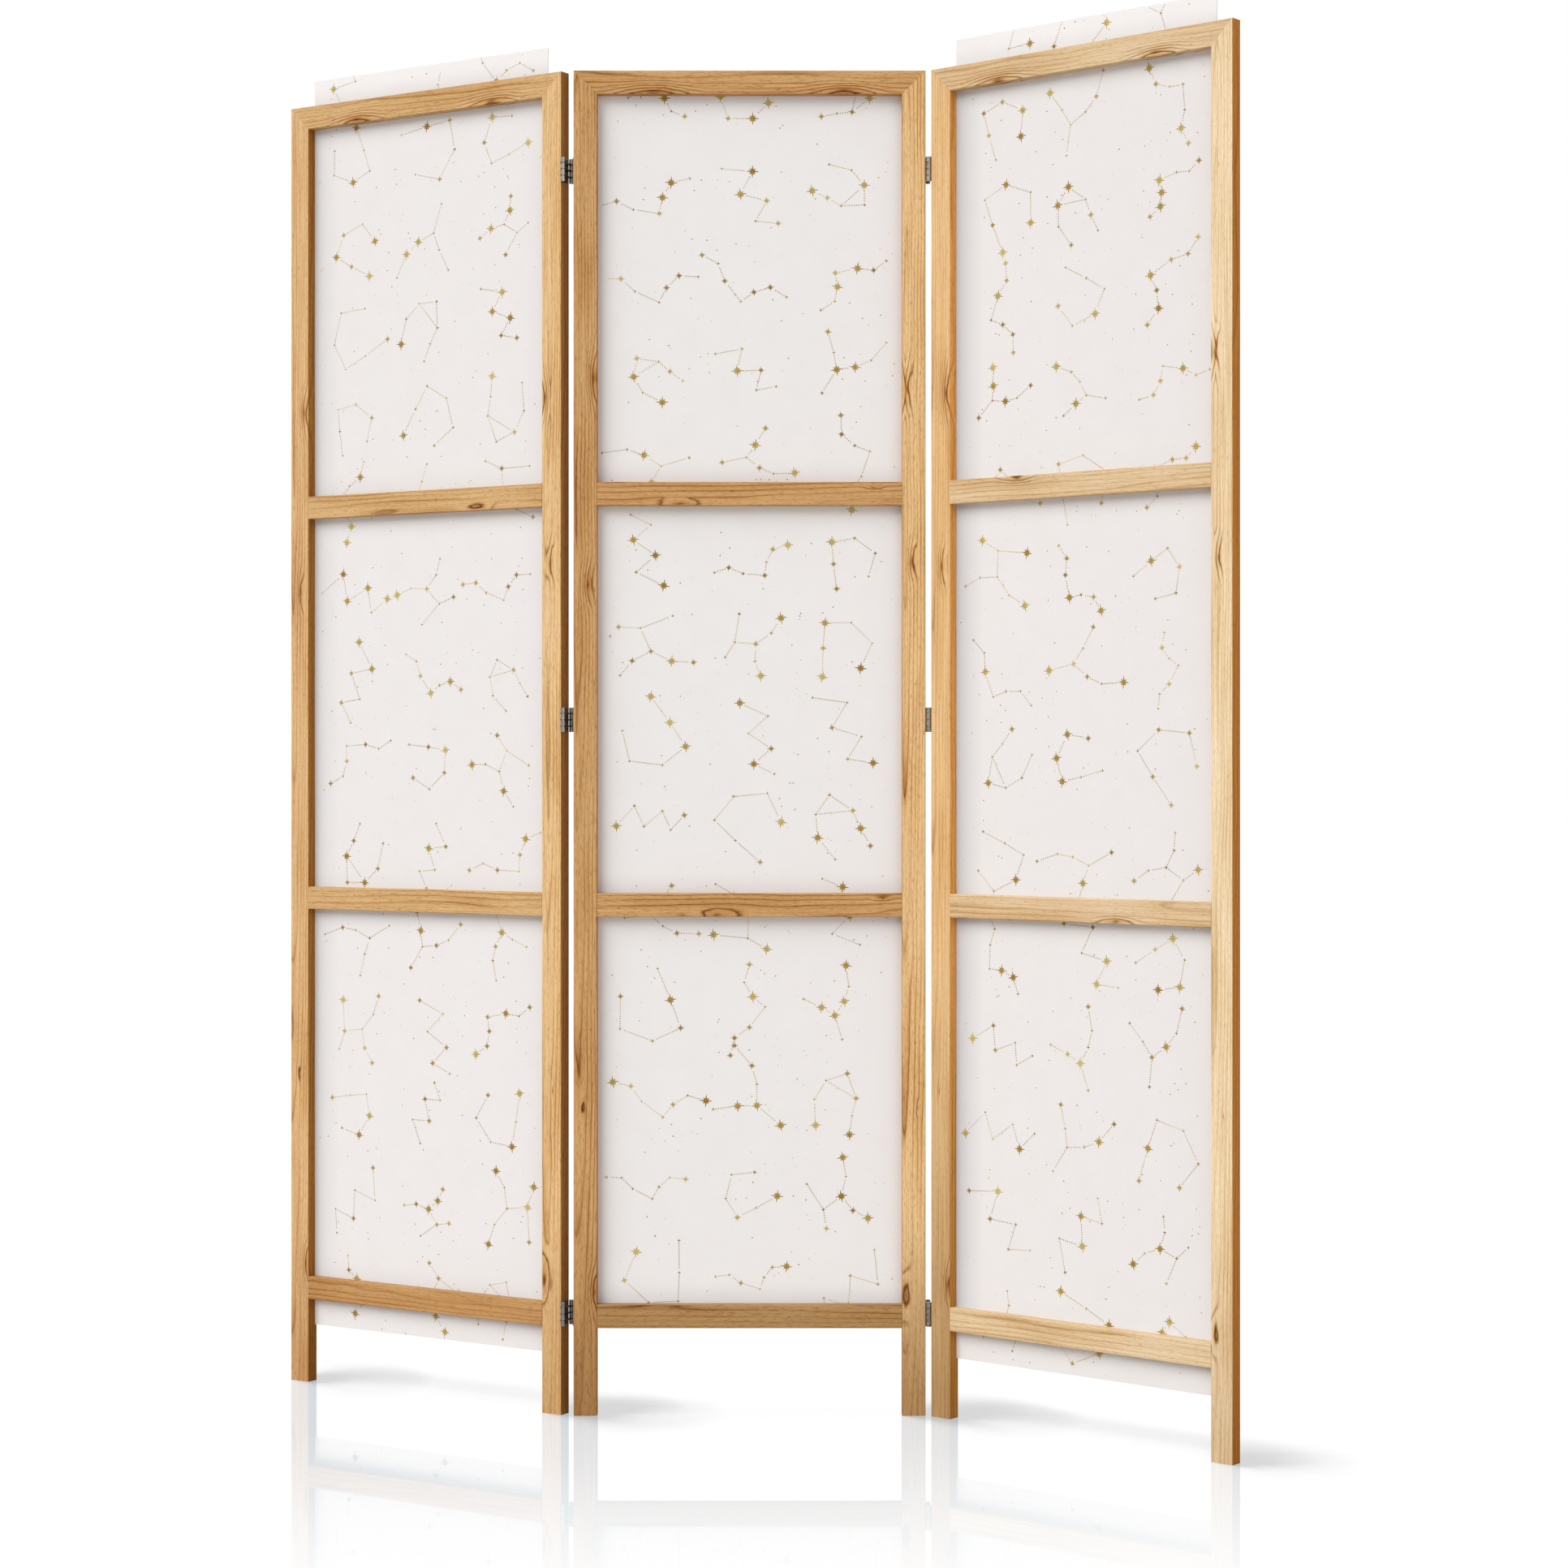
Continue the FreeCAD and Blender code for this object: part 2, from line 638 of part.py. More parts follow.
def main():
    patterns = {
        "rail_dowel": make_rod("rail_dowel", "dowel_radius", "dowel_length", "dowel_chamfer"),
        "mitre_dowel": make_rod("mitre_dowel", "dowel_radius", "mitre_dowel_length", "dowel_chamfer"),
        "hinge_pin": make_rod("hinge_pin", "pin_radius", "hinge_length", "pin_chamfer"),
        "hinge_link": make_link("hinge_link"),
        "batten_screw": make_screw("batten_screw", "batten_screw_length"),
        "hinge_screw": make_screw("hinge_screw", "hinge_screw_length"),
    }
    places, pins = panel_places()
    pieces = []
    for panel, edges, knuckles, reach in (
        ("left_panel", ("right",), "front", "sheet_overhang"),
        ("centre_panel", ("left", "right"), "back", "(-sheet_inset)"),
        ("right_panel", ("left",), "front", "sheet_overhang"),
    ):
        pieces += make_panel(panel, places[panel], edges, knuckles, reach, patterns)
    pieces += make_links("left", places["left_panel"], patterns)
    pieces += make_links("right", places["centre_panel"], patterns)
    doc.recompute()
    check_objects(pieces)
    os.makedirs("parts", exist_ok=True)
    for piece in pieces:
        piece.Shape.exportStep(f"parts/{piece.Label}.step")
    for name, point in pins.items():
        print(f"{name}: x {point.x:.4f}, y {point.y:.4f}")
    print(f"{len(pieces)} nodes, {sum(len(piece.Shape.Solids) for piece in pieces)} solids")


main()
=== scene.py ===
import json
import math
import random

import bmesh
import bpy
from mathutils import Matrix, Vector


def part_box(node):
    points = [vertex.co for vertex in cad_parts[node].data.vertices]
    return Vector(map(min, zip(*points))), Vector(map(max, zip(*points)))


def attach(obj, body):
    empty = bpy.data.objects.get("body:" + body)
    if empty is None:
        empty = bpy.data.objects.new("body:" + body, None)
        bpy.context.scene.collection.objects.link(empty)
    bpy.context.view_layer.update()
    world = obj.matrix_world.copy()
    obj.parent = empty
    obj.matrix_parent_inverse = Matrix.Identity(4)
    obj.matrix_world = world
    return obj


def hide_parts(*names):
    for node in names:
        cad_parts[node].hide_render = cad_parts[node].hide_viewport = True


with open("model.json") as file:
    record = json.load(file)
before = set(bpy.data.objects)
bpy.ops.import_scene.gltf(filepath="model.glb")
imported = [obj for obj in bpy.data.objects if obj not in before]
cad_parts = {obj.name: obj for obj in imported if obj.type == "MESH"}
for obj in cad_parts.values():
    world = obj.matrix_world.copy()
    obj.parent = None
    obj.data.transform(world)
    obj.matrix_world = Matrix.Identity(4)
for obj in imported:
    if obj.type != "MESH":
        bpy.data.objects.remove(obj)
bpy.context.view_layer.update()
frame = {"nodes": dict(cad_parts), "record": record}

MM = 0.001
PANELS = ("left_panel", "centre_panel", "right_panel")
RAILS = ("bottom", "lower", "upper", "top")
NODES = frame["nodes"]
MOUNTS = {mount["name"]: Vector(mount["pos_m"]) for mount in frame["record"]["mounts"]}

# The frame's own sizes, read from the square-on centre panel; the outer panels' longer sheets
# share their heights.
SHEET_LOW, SHEET_HIGH = (Vector(corner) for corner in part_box("centre_panel_sheet"))
STILE_LOW, STILE_HIGH = (Vector(corner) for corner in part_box("centre_panel_left_stile"))
OUTER_LOW, OUTER_HIGH = (Vector(corner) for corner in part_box("left_panel_sheet"))
RAIL_SPANS = [
    (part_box(f"centre_panel_{rail}_rail")[0][2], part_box(f"centre_panel_{rail}_rail")[1][2])
    for rail in RAILS
]
PANEL_HEIGHT = STILE_HIGH.z
SHEET_WIDTH = SHEET_HIGH.x - SHEET_LOW.x
SHEET_THICKNESS = SHEET_HIGH.y - SHEET_LOW.y
STILE_MIDDLE = (MOUNTS["centre_panel_right_foot"] - MOUNTS["centre_panel_left_foot"]).length / 2


def colour(code):
    """An sRGB hex colour as linear red, green, blue and alpha."""
    shares = [int(code[place:place + 2], 16) / 255 for place in (1, 3, 5)]
    return (*(c / 12.92 if c <= 0.04045 else ((c + 0.055) / 1.055) ** 2.4 for c in shares), 1.0)


def panel_matrix(panel):
    """From a panel's own axes (across, back, up; middle of its feet at zero) to the row's."""
    left, right = MOUNTS[f"{panel}_left_foot"], MOUNTS[f"{panel}_right_foot"]
    across = (right - left).normalized()
    back = Vector((-across.y, across.x, 0))
    turn = Matrix((across, back, Vector((0, 0, 1)))).transposed()
    return Matrix.Translation((left + right) / 2) @ turn.to_4x4()


PANEL_PLACES = {panel: panel_matrix(panel) for panel in PANELS}
SHEET_FRONT = (PANEL_PLACES["centre_panel"].inverted() @ SHEET_LOW).y


# Shader nodes.

# Multiplied in, this tone leaves a colour as it was.
WHITE = "#FFFFFF"


def add(tree, kind, feeds=None, **settings):
    """One shader node, its settings, and what fills or feeds each input."""
    made = tree.nodes.new(f"ShaderNode{kind}")
    for name, value in settings.items():
        setattr(made, name, value)
    for key, value in (feeds or {}).items():
        if isinstance(value, bpy.types.NodeSocket):
            tree.links.new(value, made.inputs[key])
        else:
            made.inputs[key].default_value = value
    return made


def ramp(tree, factor, stops):
    """The colour that a list of (place, hex) stops gives a factor."""
    made = add(tree, "ValToRGB", {"Fac": factor})
    elements = made.color_ramp.elements
    for index, (place, code) in enumerate(stops):
        element = elements[index] if index < 2 else elements.new(place)
        element.position = place
        element.color = colour(code)
    return made.outputs["Color"]


def blank(name):
    """A material with an empty node tree, and that tree."""
    material = bpy.data.materials.new(name)
    material.use_nodes = True
    material.node_tree.nodes.clear()
    return material, material.node_tree


def finish_surface(tree, feeds):
    """Ends a tree in one surface, with what fills or feeds its inputs."""
    shader = add(tree, "BsdfPrincipled", feeds)
    add(tree, "OutputMaterial", {"Surface": shader.outputs["BSDF"]})


def multiplied(tree, first, second, share=1.0):
    """The first colour, darkened by a share of the second."""
    return add(tree, "Mix", {
        0: share, 6: first, 7: second,
    }, data_type="RGBA", blend_type="MULTIPLY").outputs[2]


def sized_noise(tree, place, shift, sizes, detail):
    """Noise in patches that have a size of their own along each axis, in metres."""
    scale = tuple(1 / size for size in sizes)
    moved = add(tree, "Mapping", {"Vector": place, "Location": shift, "Scale": scale})
    return add(tree, "TexNoise", {
        "Vector": moved.outputs["Vector"], "Scale": 1.0, "Detail": detail,
    })


def grain_place(tree, panel, turn, middle):
    """Positions along, across and through a board, from its own middle, in metres."""
    inverse = PANEL_PLACES[panel].inverted()
    whole = turn @ inverse.to_3x3()
    shift = turn @ (inverse.translation - middle)
    return add(tree, "Mapping", {
        "Vector": add(tree, "TexCoord").outputs["Object"],
        "Location": shift,
        "Rotation": whole.to_euler("XYZ"),
    }).outputs["Vector"]


# Pine: the grain. Sizes of noise are along, across and through the board.

# Which of the panel's own axes runs along the grain, across the face and through the board.
STILE_GRAIN = Matrix(((0, 0, 1), (1, 0, 0), (0, 1, 0)))
RAIL_GRAIN = Matrix(((1, 0, 0), (0, 0, 1), (0, -1, 0)))
# A year's ring, from pale earlywood to the thin dark line of its latewood.
RING_SPACING = 4.0 * MM
RING_TONES = (
    (0.0, "#F4DFBD"), (0.3, "#FAE9CB"), (0.62, "#F3DEBA"),
    (0.8, "#D9B88A"), (0.87, "#946C40"), (0.93, "#ECD3AC"),
)
EARLYWOOD = "#F1DCB9"
# How far the rings wander from straight, and over what sizes.
SWAY = 8 * MM
SWAY_SIZES = (182 * MM, 53 * MM, 53 * MM)
# Broad clouds: in the paler ones the rings fade, down to a share of their figure.
CLOUD_SIZES = (200 * MM, 33 * MM, 33 * MM)
CLOUD_TONES = ((0.34, "#EBDCC4"), (0.5, "#FAF4EA"), (0.68, WHITE))
CLOUD_SHARE = 0.8
FADE_SPAN = (0.38, 0.62)
FADED_FIGURE = 0.3
# The fibres of pine are about 0.03 mm wide; they are drawn as bundles wide enough to show.
FIBRE_SIZES = (111 * MM, 0.8 * MM, 0.8 * MM)
FIBRE_TONES = ((0.34, "#E6DCCE"), (0.58, WHITE))
# Resin canals, the short dark flecks of pine, are about 0.3 mm wide; they are drawn wider so
# that they show at all.
FLECK_SIZES = (9 * MM, 0.9 * MM, 0.9 * MM)
FLECK_TONES = ((0.32, "#DACEBD"), (0.44, WHITE))
# How far a knot is drawn out along the board, how far out it bends the rings and by how
# much, both in its own radii, and how ragged its outline is.
KNOT_SQUEEZE = 0.26
KNOT_REACH = 7
KNOT_HEIGHT = 3.4
KNOT_RIPPLE = 3.4 * MM
RIPPLE_SIZES = (25 * MM, 7.7 * MM, 7.7 * MM)
# Tones by nearness to a knot, and of the dark lines that crowd round it.
KNOT_TONES = ((0.5, WHITE), (0.82, "#EFDFC2"), (0.93, "#C4A67C"), (1.0, "#94744C"))
CROWD_SPAN = (0.1, 0.7)
CROWD_TONES = ((0.6, WHITE), (0.78, "#AC8E64"), (0.88, "#94744A"), (1.0, WHITE))
# How squarely a face must look along the panel to count as a board's narrow side.
SIDE_SPAN = (0.6, 0.95)
# Reflection on a board's front and on its sides, roughness from furrow to crest of the
# fibres, and how deep the fibres are felt.
FRONT_SHEEN, SIDE_SHEEN = 0.22, 0.03
FURROW_ROUGHNESS, CREST_ROUGHNESS = 0.62, 0.5
FIBRE_SPAN = (0.3, 0.7)
FIBRE_DEPTH = 0.06 * MM

# Pine: the tones, multiplied into the grain.

# How deep the lacquered pine looks: left stile, right stile, then rails from the bottom up.
# Partly each board's own tone, partly painted light and shade: the right panel is drawn paler
# and the centre panel's bottom rail deeper, as the light fell on them.
DEEP, AMBER, HONEY, WHEAT = "#D4BD9B", "#DDC19C", "#E2CDAE", "#ECD7BC"
STRAW, CREAM, PALE = "#F4E2C8", "#FBE9CE", "#EEE7E0"
TONES = {
    "left_panel": (WHEAT, STRAW, AMBER, HONEY, HONEY, HONEY),
    "centre_panel": (AMBER, CREAM, DEEP, AMBER, AMBER, AMBER),
    "right_panel": (STRAW, WHITE, WHITE, PALE, PALE, PALE),
}
BATTEN_TONE = "#E8D6BC"
# How strongly each panel's growth rings show.
FIGURE = {"left_panel": 0.85, "centre_panel": 1.0, "right_panel": 0.6}
# Painted shade near the floor: how much darker the wood is drawn up to the foot's start, and
# the height at which that has faded out, in metres.
FOOT_SHADE_TONES = {
    "left_panel": ("#E3D9CC", 0.26),
    "centre_panel": ("#CFC6B9", 0.26),
    "right_panel": ("#E4DCD3", 0.26),
    "centre_panel_right_stile": ("#C2B9AA", 0.26),
    "right_panel_left_stile": ("#C5BDAF", 0.6),
}
FOOT_START = 0.03
# Painted shade: the deeper amber in which the narrow sides are drawn, by panel and for two stiles.
SIDE_SHADE_TONES = {
    "left_panel": "#B58745",
    "centre_panel": "#BC8C4A",
    "right_panel": "#DFA45E",
    "left_panel_right_stile": "#BA9762",
    "right_panel_left_stile": "#FFC97D",
}

# Pine: where each board was cut.

# Knots as (along the board, across it, radius) in millimetres from the board's middle; a
# stile's are measured across to its inner edge.
STILE_KNOTS = ((456, 9, 2.2), (217, 3, 1.7), (-457, -3, 0.7), (-690, 11, 1.9))
RAIL_KNOTS = {
    "centre_panel_top_rail": ((-124, -12, 2.7), (122, -11, 2.7)),
    "left_panel_top_rail": ((-112, -11, 2.5), (116, -11, 2.5)),
    "right_panel_top_rail": ((-120, -12, 2.5), (118, -11, 2.5)),
    "centre_panel_upper_rail": ((158, 8, 0.8), (-90, -13, 1.5)),
    "centre_panel_lower_rail": ((-40, -12, 1.8), (170, 8, 0.8)),
    "right_panel_lower_rail": ((60, -12, 1.7),),
    "right_panel_upper_rail": ((-90, 11, 1.5),),
    "left_panel_upper_rail": ((90, -11, 1.5),),
}
# How far a stile's knots move along and across it from one stile to the next, and the
# range of their sizes.
KNOT_ALONG, KNOT_ACROSS, KNOT_SIZES = 16, 2, (0.85, 1.1)
# How a board lay in its log: the range of the log's lean in degrees, and of how far aside
# its middle runs in millimetres. Then, for every board, the lean the other way, how far
# behind the board the middle runs, and the seeds of its noises.
STILE_LOG = ((0.5, 1.0), (5, 14))
RAIL_LOG = ((0.2, 0.6), (12, 24))
LOG_SKEW = (-0.3, 0.3)
LOG_DEPTHS = (14, 24)
NOISE_SEEDS = (1, 40)


def knot_fields(tree, grain, rings, knots):
    """Pushes the rings out round each knot; also how near each place is to a knot."""
    nearness = 0.0
    ripple = sized_noise(tree, grain, (0, 0, 0), RIPPLE_SIZES, detail=1.0).outputs["Color"]
    ragged = add(tree, "VectorMath", {
        0: ripple, 1: (KNOT_RIPPLE, KNOT_RIPPLE, 0), 2: (-KNOT_RIPPLE / 2, -KNOT_RIPPLE / 2, 0),
    }, operation="MULTIPLY_ADD").outputs["Vector"]
    for along, across, radius in knots:
        away = add(tree, "VectorMath", {
            0: grain, 1: (along * MM, across * MM, 0),
        }, operation="SUBTRACT").outputs["Vector"]
        oval = add(tree, "VectorMath", {
            0: away, 1: (KNOT_SQUEEZE, 1, 0),
        }, operation="MULTIPLY").outputs["Vector"]
        wobbly = add(tree, "VectorMath", {0: oval, 1: ragged}, operation="ADD").outputs["Vector"]
        reach = add(tree, "VectorMath", {0: wobbly}, operation="LENGTH").outputs["Value"]
        disc = add(tree, "MapRange", {
            "Value": reach, "From Max": radius * KNOT_REACH * MM, "To Min": 1.0, "To Max": 0.0,
        }).outputs["Result"]
        hill = add(tree, "MapRange", {
            "Value": disc, "To Max": radius * KNOT_HEIGHT * MM,
        }, interpolation_type="SMOOTHSTEP").outputs["Result"]
        rings = add(tree, "Math", {0: rings, 1: hill}, operation="ADD").outputs["Value"]
        nearness = add(tree, "Math", {
            0: nearness, 1: disc,
        }, operation="MAXIMUM").outputs["Value"]
    return rings, nearness


def growth_rings(tree, grain, seed, log, knots):
    """Each place's share of its year, from 0 to 1, and how near it is to a knot."""
    lean, pith = log
    in_log = add(tree, "Mapping", {
        "Vector": grain,
        "Location": (seed, pith[0] * MM, pith[1] * MM),
        "Rotation": (0, math.radians(lean[0]), math.radians(lean[1])),
    }).outputs["Vector"]
    sway = sized_noise(tree, grain, (seed, seed, 0), SWAY_SIZES, detail=2.0).outputs["Color"]
    bend = add(tree, "VectorMath", {
        0: sway, 1: (0, SWAY, SWAY), 2: (0, -SWAY / 2, -SWAY / 2),
    }, operation="MULTIPLY_ADD").outputs["Vector"]
    bent = add(tree, "VectorMath", {0: in_log, 1: bend}, operation="ADD").outputs["Vector"]
    square = add(tree, "VectorMath", {
        0: bent, 1: (0, 1, 1),
    }, operation="MULTIPLY").outputs["Vector"]
    radius = add(tree, "VectorMath", {0: square}, operation="LENGTH").outputs["Value"]
    rings, nearness = knot_fields(tree, grain, radius, knots)
    years = add(tree, "Math", {0: rings, 1: RING_SPACING}, operation="DIVIDE").outputs["Value"]
    return add(tree, "Math", {0: years}, operation="FRACT").outputs["Value"], nearness


def planed_grain(tree, panel, grain, seed, season, cloud, fibre):
    """The grain's colour on every face of a board: rings, fibres and flecks."""
    clear = add(tree, "MapRange", {
        "Value": cloud, "From Min": FADE_SPAN[0], "From Max": FADE_SPAN[1],
        "To Min": FIGURE[panel], "To Max": FADED_FIGURE * FIGURE[panel],
    }).outputs["Result"]
    figured = add(tree, "Mix", {
        0: clear, 6: colour(EARLYWOOD), 7: ramp(tree, season, RING_TONES),
    }, data_type="RGBA").outputs[2]
    streaked = multiplied(tree, figured, ramp(tree, fibre, FIBRE_TONES))
    flecks = sized_noise(tree, grain, (0, 0, seed), FLECK_SIZES, detail=1.0).outputs["Fac"]
    return multiplied(tree, streaked, ramp(tree, flecks, FLECK_TONES), FIGURE[panel])


def pine(name, panel, turn, middle, seed, tones, knots, log):
    """Planed knotty pine under a clear matt lacquer: close growth rings with thin dark
    latewood lines, fine fibres along the board and small knots that the rings flow round.
    Its narrow side faces are drawn a deeper amber and the wood darker near the foot: both
    are painted shade."""
    tone, side, foot = tones
    material, tree = blank(name)
    grain = grain_place(tree, panel, turn, middle)
    season, nearness = growth_rings(tree, grain, seed, log, knots)
    cloud_place, fibre_place = (seed * 2, 0, seed), (0, seed, 0)
    cloud = sized_noise(tree, grain, cloud_place, CLOUD_SIZES, detail=2.0).outputs["Fac"]
    fibre = sized_noise(tree, grain, fibre_place, FIBRE_SIZES, detail=3.0).outputs["Fac"]
    planed = planed_grain(tree, panel, grain, seed, season, cloud, fibre)
    shaded = multiplied(tree, planed, ramp(tree, cloud, CLOUD_TONES), CLOUD_SHARE)
    toned = multiplied(tree, shaded, colour(tone))
    if knots:
        crowd = add(tree, "MapRange", {
            "Value": nearness, "From Min": CROWD_SPAN[0], "From Max": CROWD_SPAN[1],
        }).outputs["Result"]
        toned = multiplied(tree, toned, ramp(tree, season, CROWD_TONES), crowd)
        toned = multiplied(tree, toned, ramp(tree, nearness, KNOT_TONES))
    facing = add(tree, "VectorMath", {
        0: add(tree, "TexCoord").outputs["Normal"], 1: PANEL_PLACES[panel].to_3x3().col[0],
    }, operation="DOT_PRODUCT").outputs["Value"]
    sideways = add(tree, "MapRange", {
        "Value": add(tree, "Math", {0: facing}, operation="ABSOLUTE").outputs["Value"],
        "From Min": SIDE_SPAN[0], "From Max": SIDE_SPAN[1],
    }).outputs["Result"]
    # Painted shade: the narrow sides are drawn a deeper amber.
    amber = multiplied(tree, planed, colour(side))
    sided = add(tree, "Mix", {0: sideways, 6: toned, 7: amber}, data_type="RGBA").outputs[2]
    height = add(tree, "SeparateXYZ", {0: add(tree, "TexCoord").outputs["Object"]}).outputs["Z"]
    # Painted shade: the wood is drawn darker from the foot's start up to the set height.
    foot_shaded = ramp(tree, height, ((FOOT_START, foot[0]), (foot[1], WHITE)))
    gloss = add(tree, "MapRange", {
        "Value": fibre, "From Min": FIBRE_SPAN[0], "From Max": FIBRE_SPAN[1],
        "To Min": FURROW_ROUGHNESS, "To Max": CREST_ROUGHNESS,
    }).outputs["Result"]
    sheen = add(tree, "MapRange", {
        "Value": sideways, "To Min": FRONT_SHEEN, "To Max": SIDE_SHEEN,
    }).outputs["Result"]
    ridge = add(tree, "Math", {0: season, 1: fibre}, operation="ADD").outputs["Value"]
    relief = add(tree, "Bump", {"Height": ridge, "Strength": 0.2, "Distance": FIBRE_DEPTH})
    finish_surface(tree, {
        "Base Color": multiplied(tree, sided, foot_shaded),
        "Roughness": gloss,
        "Normal": relief.outputs["Normal"],
        "Specular IOR Level": sheen,
    })
    return material


def paint(node, material):
    """Gives a carried-over piece its material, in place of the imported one."""
    mesh = NODES[node].data
    mesh.materials.clear()
    mesh.materials.append(material)


def stile_knots(sign, dice):
    """Much the same few knots on each stile, a little shifted from one to the next."""
    return [
        (
            along + dice.uniform(-KNOT_ALONG, KNOT_ALONG),
            -sign * across + dice.uniform(-KNOT_ACROSS, KNOT_ACROSS),
            radius * dice.uniform(*KNOT_SIZES),
        )
        for along, across, radius in STILE_KNOTS
    ]


def dress_wood(panel, dice):
    """Its own board of pine for each stile, rail and batten of a panel."""
    tones = TONES[panel]
    boards = []
    for hand, sign, tone in (("left", -1, tones[0]), ("right", 1, tones[1])):
        middle = Vector((sign * STILE_MIDDLE, 0, PANEL_HEIGHT / 2))
        knots = stile_knots(sign, dice)
        boards.append((f"{panel}_{hand}_stile", STILE_GRAIN, middle, tone, knots))
    for rail, (low, high), tone in zip(RAILS, RAIL_SPANS, tones[2:]):
        middle = Vector((0, 0, (low + high) / 2))
        node = f"{panel}_{rail}_rail"
        boards.append((node, RAIL_GRAIN, middle, tone, RAIL_KNOTS.get(node, ())))
        boards.append((f"{panel}_{rail}_batten", RAIL_GRAIN, middle, BATTEN_TONE, ()))
    for node, turn, middle, tone, knots in boards:
        leans, offsets = STILE_LOG if turn is STILE_GRAIN else RAIL_LOG
        lean = (dice.uniform(*leans), dice.uniform(*LOG_SKEW))
        pith = (dice.choice((-1, 1)) * dice.uniform(*offsets), dice.uniform(*LOG_DEPTHS))
        seed = dice.uniform(*NOISE_SEEDS)
        # The painted shade of each board: its sides' deeper amber and its darker wood near the
        # foot.
        side = SIDE_SHADE_TONES.get(node, SIDE_SHADE_TONES[panel])
        foot = FOOT_SHADE_TONES.get(node, FOOT_SHADE_TONES[panel])
        board = pine(
            f"pine_{node}", panel, turn, middle, seed, (tone, side, foot), knots, (lean, pith),
        )
        paint(node, board)


# Dowels and metal.

BEECH_FLECK = 2.38 * MM
BEECH_TONES = ((0.35, "#A8754A"), (0.5, "#CFA27A"), (0.7, "#DDB68F"))
# The size of the plating's clouds, the span of them that shows, how much smoother and
# rougher they make it, and how deep they are.
PLATING_CLOUD = 3.846 * MM
PLATING_SPAN = (0.3, 0.7)
PLATING_ROUGHNESS = (-0.06, 0.08)
PLATING_DEPTH = 0.03 * MM


def turned_beech():
    """Beech dowel rod: pale pink-brown with short dark flecks along the grain."""
    material, tree = blank("turned_beech")
    place = add(tree, "TexCoord").outputs["Object"]
    flecks = add(tree, "TexNoise", {
        "Vector": place, "Scale": 1 / BEECH_FLECK, "Detail": 2.0,
    }).outputs["Fac"]
    finish_surface(tree, {"Base Color": ramp(tree, flecks, BEECH_TONES), "Roughness": 0.6})
    return material


def plated_steel(name, tones, roughness):
    """Bright plated sheet steel: a smooth cool sheen, clouded a little by the plating."""
    material, tree = blank(name)
    place = add(tree, "TexCoord").outputs["Object"]
    cloud = add(tree, "TexNoise", {
        "Vector": place, "Scale": 1 / PLATING_CLOUD, "Detail": 3.0,
    }).outputs["Fac"]
    gloss = add(tree, "MapRange", {
        "Value": cloud, "From Min": PLATING_SPAN[0], "From Max": PLATING_SPAN[1],
        "To Min": roughness + PLATING_ROUGHNESS[0], "To Max": roughness + PLATING_ROUGHNESS[1],
    }).outputs["Result"]
    relief = add(tree, "Bump", {"Height": cloud, "Strength": 0.15, "Distance": PLATING_DEPTH})
    finish_surface(tree, {
        "Base Color": ramp(tree, cloud, tuple(zip(PLATING_SPAN, tones))),
        "Metallic": 1.0,
        "Roughness": gloss,
        "Normal": relief.outputs["Normal"],
    })
    return material


# Sheets.

# A real thread is about 0.4 mm; it is drawn wider so that the weave shows at all. The wave
# texture turns through 20 radians for each unit of its scale: this one gives two threads to
# a wave.
THREAD = 1.1 * MM
WEAVE_SCALE = 1 / (THREAD * 20) * math.pi
WEAVE_DEPTH = 0.12 * MM
WEAVE_TONES = ((0.0, "#ECE9E7"), (1.0, "#EFECEB"))
SLUB_SIZE = 40 * MM
SLUB_TONES = ((0.3, "#FCFBFB"), (0.7, WHITE))
SLUB_SHARE = 0.5
# Painted shade: the outer panels' cloth is drawn a shade deeper, up to the free strip above
# the top rail. Just above each rail it is painted a little cooler, which evens out the warm
# light off the wood.
CLOTH_SHADE_TONES = {"left_panel": "#F7F6F6", "centre_panel": WHITE, "right_panel": "#F5F4F4"}
PAINTED_COOL_TINT = "#EFF3F8"
COOL_REACH = 24 * MM
# The soft shade on the cloth at the right of a left stile, where the wide lamps leave too
# little: its tones from the stile outwards, and how much of it each panel gets.
STILE_SHADE = ((0.0, "#EBF2F9"), (0.2, "#E3E6EA"), (0.52, "#F1F3F4"), (1.0, WHITE))
STILE_SHADE_WIDTH = 42 * MM
STILE_SHADE_SHARES = {"left_panel": 0.6, "centre_panel": 0.0, "right_panel": 1.0}

# The sheet's mesh cells, how far it stands forward between two rails, and how far a free
# edge curls back.
SHEET_CELL = 12 * MM
SHEET_SLACK = 0.5 * MM
FREE_EDGE_CURL = 0.4 * MM
# The slack's slow waves: radians over the sheet's width and to a metre of height.
WAVES_ACROSS = 9.0
WAVES_UP = 5.0
SHARP_ANGLE = math.radians(30)


